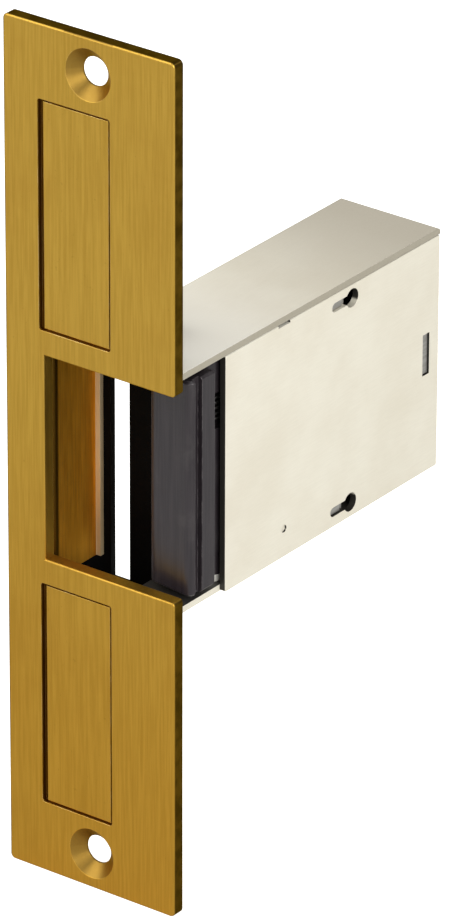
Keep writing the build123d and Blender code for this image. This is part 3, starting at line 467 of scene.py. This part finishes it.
def moulded(name, light, dark, roughness, speck=None):
    """Moulded plastic with a matt texture, a faint flow tint and slightly polished edges."""
    s = Shader(name)
    texture = s.noise(3400, 3.0)
    flow = s.noise(140, 3.0, distortion=1.2)
    soft, edges = s.rounded(0.12 * MM)
    colour = s.blend(s.spread(flow, 0.3, 0.75), dark, light)
    flecks = s.spread(s.noise(2300, 2.0), 0.66, 0.74)
    colour = s.blend(s.product(flecks, 0.3), colour, speck or dark)
    polished = tuple(min(1.0, 1.25 * c + 0.02) for c in light)
    colour = s.blend(s.product(edges, 0.25), colour, polished)
    rough = s.math("SUBTRACT", s.spread(texture, 0.3, 0.7, roughness - 0.04, roughness + 0.08),
                   s.product(edges, 0.12))
    return s.finish(colour, rough, 0.0, texture, 0.012 * MM, soft)


def terminal_plastic():
    return moulded(
        "terminal_plastic", (0.030, 0.027, 0.025), (0.017, 0.015, 0.014), 0.42, speck=(0.07, 0.05, 0.035)
    )


def nylon():
    return moulded("nylon", (0.78, 0.76, 0.69), (0.70, 0.67, 0.60), 0.45)


def bobbin_nylon():
    return moulded("bobbin_nylon", (0.70, 0.68, 0.60), (0.60, 0.57, 0.49), 0.48)


def lead_sleeve():
    return moulded("lead_sleeve", (0.42, 0.035, 0.025), (0.32, 0.022, 0.016), 0.38)


def coil_tape():
    """Amber polyester tape: glossy, with a faint weave and the wire's ridges showing through."""
    s = Shader("coil_tape")
    weave = s.noise(4200, 2.0, stretch=(1.0, 0.2, 1.0))
    creases = s.noise(300, 4.0, stretch=(1.0, 0.4, 1.0), distortion=0.6)
    soft, edges = s.rounded(0.08 * MM)
    colour = s.blend(s.spread(creases, 0.3, 0.7), (0.42, 0.27, 0.05), (0.58, 0.40, 0.10))
    colour = s.blend(s.product(edges, 0.4), colour, (0.70, 0.55, 0.22))
    rough = s.spread(weave, 0.3, 0.7, 0.18, 0.32)
    height = s.math("ADD", s.product(weave, 0.3), creases)
    return s.finish(colour, rough, 0.0, height, 0.03 * MM, soft, coat_weight=0.4)


MATERIALS = {
    make.__name__: make()
    for make in (
        satin_brass, liner_brass, case_cream, black_strap, black_keeper, inner_steel, ground_steel,
        spring_steel, zinc_fixings, bronze, terminal_brass, nylon, bobbin_nylon, copper_wire,
        coil_tape, terminal_plastic, lead_sleeve,
    )
}


def paint(obj, slot):
    """Gives every face of obj the material of that name."""
    obj.data.materials.clear()
    obj.data.materials.append(MATERIALS[slot])
    for face in obj.data.polygons:
        face.material_index = 0


SLOT_OF = {entry["node"]: entry["material_slot"] for entry in frame["record"]["subparts"]}
for node_name, node in frame["nodes"].items():
    paint(node, SLOT_OF[node_name])


# =================================================================== geometry
WELD = 0.001 * MM


def new_piece(name, verts, faces, smooth_angle=35):
    """A mesh object with consistent outward faces, smooth except across sharp edges."""
    mesh = bpy.data.meshes.new(name)
    mesh.from_pydata([tuple(v) for v in verts], [], faces)
    work = bmesh.new()
    work.from_mesh(mesh)
    bmesh.ops.recalc_face_normals(work, faces=work.faces)
    for face in work.faces:
        face.smooth = True
    for edge in work.edges:
        if len(edge.link_faces) == 2 and edge.calc_face_angle() > math.radians(smooth_angle):
            edge.smooth = False
    work.to_mesh(mesh)
    work.free()
    obj = bpy.data.objects.new(name, mesh)
    bpy.context.scene.collection.objects.link(obj)
    return obj


def join(name, pieces):
    """One object from several (verts, faces) lists."""
    verts, faces = [], []
    for piece_verts, piece_faces in pieces:
        start = len(verts)
        verts += piece_verts
        faces += [[start + i for i in face] for face in piece_faces]
    return new_piece(name, verts, faces)


def frame_along(axis):
    """Two unit vectors square to axis and to each other."""
    axis = Vector(axis).normalized()
    side = axis.cross(Vector((0, 0, 1)))
    if side.length < 0.1:
        side = axis.cross(Vector((1, 0, 0)))
    side.normalize()
    return side, axis.cross(side)


def turned(profile, steps, origin, axis):
    """(verts, faces) swept round axis. profile(angle) lists (radius, height) points, the same
    number at each angle; a radius of 0 at the first or last point closes that end."""
    axis = Vector(axis).normalized()
    side, up = frame_along(axis)
    origin = Vector(origin)
    rows = []
    for i in range(steps):
        angle = 2 * math.pi * i / steps
        out = side * math.cos(angle) + up * math.sin(angle)
        rows.append([origin + out * r + axis * h for r, h in profile(angle)])
    count = len(rows[0])
    first = profile(0.0)
    poles = [first[0][0] == 0, first[-1][0] == 0]
    verts, index = [], []
    for i, row in enumerate(rows):
        line = []
        for j, point in enumerate(row):
            pole = (j == 0 and poles[0]) or (j == count - 1 and poles[1])
            if pole and i > 0:
                line.append(index[0][j])
            else:
                line.append(len(verts))
                verts.append(point)
        index.append(line)
    faces = []
    spans = count - 1 if any(poles) else count
    for i in range(steps):
        here, there = index[i], index[(i + 1) % steps]
        for j in range(spans):
            corners = [here[j], here[(j + 1) % count], there[(j + 1) % count], there[j]]
            loop = list(dict.fromkeys(corners))
            if len(loop) > 2:
                faces.append(loop)
    return verts, faces


def tube(path, radius, sides=14):
    """(verts, faces) of a round wire along path, with rounded ends."""
    points = [Vector(p) for p in path]
    tangents = [
        (points[min(i + 1, len(points) - 1)] - points[max(i - 1, 0)]).normalized()
        for i in range(len(points))
    ]
    side = frame_along(tangents[0])[0]
    verts, faces = [], []
    rings = [(0, -0.8, 0.5), (0, -0.45, 0.85)]
    rings += [(i, 0.0, 1.0) for i in range(len(points))]
    rings += [(len(points) - 1, 0.45, 0.85), (len(points) - 1, 0.8, 0.5)]
    for i, ahead, scale in rings:
        side = (side - tangents[i] * side.dot(tangents[i])).normalized()
        up = tangents[i].cross(side)
        centre = points[i] + tangents[i] * ahead * radius
        for k in range(sides):
            angle = 2 * math.pi * k / sides
            verts.append(centre + (side * math.cos(angle) + up * math.sin(angle)) * radius * scale)
    for ring in range(len(rings) - 1):
        for k in range(sides):
            a, b = ring * sides + k, ring * sides + (k + 1) % sides
            faces.append([a, b, b + sides, a + sides])
    faces.append(list(range(sides))[::-1])
    last = (len(rings) - 1) * sides
    faces.append(list(range(last, last + sides)))
    return verts, faces


def thread_radius(angle, height, outer, pitch, depth):
    """Radius of a V thread at this angle and height."""
    phase = (height / pitch - angle / (2 * math.pi)) % 1.0
    return outer - depth * (1 - abs(2 * phase - 1))


def boxes_of_solids(node):
    """The (low, high) corners of each separate solid of a node, from the lowest up."""
    mesh = frame["nodes"][node].data
    work = bmesh.new()
    work.from_mesh(mesh)
    bmesh.ops.remove_doubles(work, verts=work.verts, dist=WELD)
    work.verts.ensure_lookup_table()
    seen, boxes = set(), []
    for vert in work.verts:
        if vert in seen:
            continue
        stack, members = [vert], []
        seen.add(vert)
        while stack:
            here = stack.pop()
            members.append(here.co.copy())
            for edge in here.link_edges:
                other = edge.other_vert(here)
                if other not in seen:
                    seen.add(other)
                    stack.append(other)
        low = Vector([min(p[k] for p in members) for k in range(3)])
        high = Vector([max(p[k] for p in members) for k in range(3)])
        boxes.append((low, high))
    work.free()
    return sorted(boxes, key=lambda box: (round(box[0].z, 6), round(box[0].x, 6)))


def stand_for(obj, node, body):
    """obj takes a CAD node's place: it rides on its body and takes its slot and material."""
    paint(obj, SLOT_OF[node])
    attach(obj, body)
    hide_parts(node)
    return obj


# ----------------------------------------------------- threaded studs and nuts
STUD_PITCH = 0.5 * MM
STUD_THREAD = 0.27 * MM
STUD_POINT = 0.5 * MM
STUD_TAPER = 0.35 * MM
STUD_STEPS = 48
ROWS_PER_PITCH = 8
NUT_BORE = 1.53 * MM
NUT_LEAD = 0.25 * MM
NUT_GROOVE = 0.08 * MM
NUT_CONE_START = 0.985
NUT_CONE_SLOPE = 1.9
NUT_STEPS = 72
NUT_SHARES = (0.0, 0.06, 0.12, 0.5, 0.88, 0.94, 1.0)


def threaded_studs():
    """The studs with V threads and tapered ends."""
    pieces = []
    for low, high in boxes_of_solids("faceplate_studs"):
        centre = (low + high) / 2
        radius, length = (high.x - low.x) / 2, high.y - low.y
        rows = int(length / STUD_PITCH * ROWS_PER_PITCH)

        def profile(angle):
            points = [(0, 0)]
            for i in range(rows + 1):
                height = length * i / rows
                ease = max(0.0, 1 - (length - height) / STUD_POINT)
                thread = thread_radius(angle, height, radius, STUD_PITCH, STUD_THREAD)
                points.append((thread - STUD_TAPER * ease, height))
            return points + [(0, length)]

        pieces.append(turned(profile, STUD_STEPS, (centre.x, low.y, centre.z), (0, 1, 0)))
    return join("faceplate_studs_threaded", pieces)


def hex_nuts():
    """Hexagon nuts with chamfered corners and a grooved bore."""
    pieces = []
    for low, high in boxes_of_solids("faceplate_nuts"):
        centre = (low + high) / 2
        thick = high.y - low.y
        flats = min(high.z - low.z, high.x - low.x) / 2
        corner = flats / math.cos(math.pi / 6)
        long_on_x = high.x - low.x > high.z - low.z
        bore_rows = int(thick / STUD_PITCH * ROWS_PER_PITCH)

        def profile(angle):
            turn = angle if long_on_x else angle + math.pi / 6
            local = (turn + math.pi / 6) % (math.pi / 3) - math.pi / 6
            flat = flats / math.cos(abs(abs(local) - math.pi / 6))
            points = []
            for share in NUT_SHARES:
                height = thick * share
                near = min(height, thick - height)
                cone = flats * NUT_CONE_START + near * NUT_CONE_SLOPE
                points.append((min(flat, cone, corner), height))
            for i in range(bore_rows + 1):
                height = thick * (1 - i / bore_rows)
                near = min(height, thick - height)
                phase = (height / STUD_PITCH - angle / (2 * math.pi)) % 1.0
                groove = NUT_GROOVE * abs(2 * phase - 1)
                points.append((NUT_BORE + groove + max(0.0, NUT_LEAD - near), height))
            return points

        pieces.append(turned(profile, NUT_STEPS, (centre.x, low.y, centre.z), (0, 1, 0)))
    return join("faceplate_nuts_hex", pieces)


stand_for(threaded_studs(), "faceplate_studs", "case")
stand_for(hex_nuts(), "faceplate_nuts", "case")


# -------------------------------------------------------------------- springs
RETURN_WIRE = 0.25 * MM
RETURN_TURNS = 4.0
RETURN_START = 0.4
HUB_WIRE = 0.3 * MM
HUB_COIL_RADIUS = 3.85 * MM
HUB_PITCH = 0.95 * MM
HUB_TURNS = 5.0
LEG_STEP = 0.5 * MM
LEG_STEPS = 9


def helix(centre, axis, radius, length, turns, start_angle, per_turn=40):
    """Points of an even coil."""
    axis = Vector(axis).normalized()
    side, up = frame_along(axis)
    points = []
    total = int(turns * per_turn)
    for i in range(total + 1):
        share = i / total
        angle = start_angle + 2 * math.pi * turns * share
        out = side * math.cos(angle) + up * math.sin(angle)
        points.append(Vector(centre) + axis * length * share + out * radius)
    return points


def return_spring():
    """Compression spring on the plunger, between the yoke and the clip."""
    low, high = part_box("plunger_spring")
    radius = (high.x - low.x) / 2 - RETURN_WIRE
    start = ((low.x + high.x) / 2, low.y + RETURN_WIRE, (low.z + high.z) / 2)
    length = high.y - low.y - 2 * RETURN_WIRE
    path = helix(start, (0, 1, 0), radius, length, RETURN_TURNS, RETURN_START)
    return join("plunger_spring_coil", [tube(path, RETURN_WIRE)])


def torsion_spring():
    """Spring round the keeper's hub, with one leg that bears on the keeper."""
    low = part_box("keeper_spring")[0]
    hub = next(joint["pos_m"] for joint in frame["joints"] if joint["name"] == "keeper_swing")
    start = (hub[0], hub[1], low.z + HUB_WIRE)
    path = helix(start, (0, 0, 1), HUB_COIL_RADIUS, HUB_PITCH * HUB_TURNS, HUB_TURNS, 0.0)
    end = path[-1]
    heading = (path[-1] - path[-2]).normalized()
    path += [end + heading * (LEG_STEP * k) for k in range(1, LEG_STEPS + 1)]
    return join("keeper_spring_coil", [tube(path, HUB_WIRE)])


def stretch_for(obj, node):
    """obj takes a CAD spring's place with its material; its transform is baked in and it rides on no body."""
    paint(obj, SLOT_OF[node])
    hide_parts(node)
    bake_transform(obj)


stretch_for(return_spring(), "plunger_spring")

stretch_for(torsion_spring(), "keeper_spring")


# ----------------------------------------------------------------------- coil
WIRE_PITCH = 0.34 * MM
WIRE_RIDGE = 0.10 * MM
WIRE_ROWS = 6
COIL_BORE = 4.72 * MM
COIL_STEPS = 72


def wound_coil():
    """The winding's outer layer, ridge by ridge, with its end faces."""
    low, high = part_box("winding")
    outer = (high.x - low.x) / 2
    centre = (low + high) / 2
    length = high.y - low.y
    rows = int(length / WIRE_PITCH * WIRE_ROWS)

    def profile(angle):
        points = [(COIL_BORE, 0)]
        for i in range(rows + 1):
            height = length * i / rows
            phase = (height / WIRE_PITCH - angle / (2 * math.pi)) % 1.0
            points.append((outer - WIRE_RIDGE * (1 - math.sin(math.pi * phase)), height))
        return points + [(COIL_BORE, length)]

    sleeve = turned(profile, COIL_STEPS, (centre.x, low.y, centre.z), (0, 1, 0))
    return join("winding_turns", [sleeve])


stand_for(wound_coil(), "winding", "case")


# ==================================================================== staging
def area_light(name, place, target, size, power):
    """A soft rectangular light that faces its target."""
    data = bpy.data.lights.new(name, "AREA")
    data.shape = "RECTANGLE"
    data.size, data.size_y = size
    data.energy = power
    light = bpy.data.objects.new(name, data)
    bpy.context.scene.collection.objects.link(light)
    light.location = place
    light.rotation_mode = "QUATERNION"
    light.rotation_quaternion = (Vector(target) - Vector(place)).to_track_quat("-Z", "Y")


def floor():
    """A wide pale sheet under the part."""
    level = cad_low.z
    half = FLOOR_SIZE / 2
    corners = [(-half, -half), (half, -half), (half, half), (-half, half)]
    piece = new_piece("floor", [(x, y, level) for x, y in corners], [[0, 1, 2, 3]])
    s = Shader("floor_paper")
    tone = s.blend(s.spread(s.noise(3, 3.0), 0.3, 0.7), (0.90, 0.90, 0.89), (0.93, 0.93, 0.92))
    fibres = s.noise(900, 3.0)
    bump = s.add("ShaderNodeBump", {"Height": fibres, "Distance": 0.02 * MM})
    # Seen directly the paper glows like a lit backdrop; it lights the part much less.
    seen = s.add("ShaderNodeLightPath").outputs["Is Camera Ray"]
    glow = s.product(seen, FLOOR_GLOW)
    tone = s.blend(seen, s.blend(1.0, tone, (FLOOR_BOUNCE,) * 3, "MULTIPLY"), tone)
    surface = s.add(
        "ShaderNodeBsdfPrincipled",
        {
            "Base Color": tone, "Roughness": 0.9, "Normal": bump.outputs[0],
            "Emission Color": tone, "Emission Strength": glow,
        },
    )
    s.tree.links.new(surface.outputs[0], s.output.inputs[0])
    piece.data.materials.append(s.material)


def studio():
    """Soft pale surroundings with the soft lights."""
    world = bpy.data.worlds.new("studio")
    world.use_nodes = True
    background = world.node_tree.nodes["Background"]
    background.inputs["Color"].default_value = WORLD_COLOUR
    background.inputs["Strength"].default_value = WORLD_STRENGTH
    bpy.context.scene.world = world
    for light in LIGHTS:
        area_light(*light)


def camera():
    """Camera at the viewing angle, aimed a little to the right of the part and above its middle."""
    a, e = math.radians(VIEW_AZIMUTH), math.radians(VIEW_ELEVATION)
    back = Vector((math.sin(a) * math.cos(e), -math.cos(a) * math.cos(e), math.sin(e)))
    right = Vector((math.cos(a), math.sin(a), 0))
    up = back.cross(right)
    data = bpy.data.cameras.new("camera")
    data.lens = VIEW_LENS
    data.sensor_width = SENSOR_WIDTH
    data.sensor_fit = "AUTO"
    data.clip_start = CLIP_START
    data.clip_end = CLIP_END
    eye = bpy.data.objects.new("camera", data)
    bpy.context.scene.collection.objects.link(eye)
    eye.location = back * VIEW_DISTANCE
    aim = right * AIM_RIGHT + up * AIM_UP
    look = (aim - eye.location).to_track_quat("-Z", "Y")
    roll = Matrix.Rotation(math.radians(VIEW_ROLL), 4, "Z").to_quaternion()
    eye.rotation_mode = "QUATERNION"
    eye.rotation_quaternion = look @ roll
    bpy.context.scene.camera = eye


floor()
studio()
camera()
bpy.context.scene.view_settings.view_transform = "Standard"
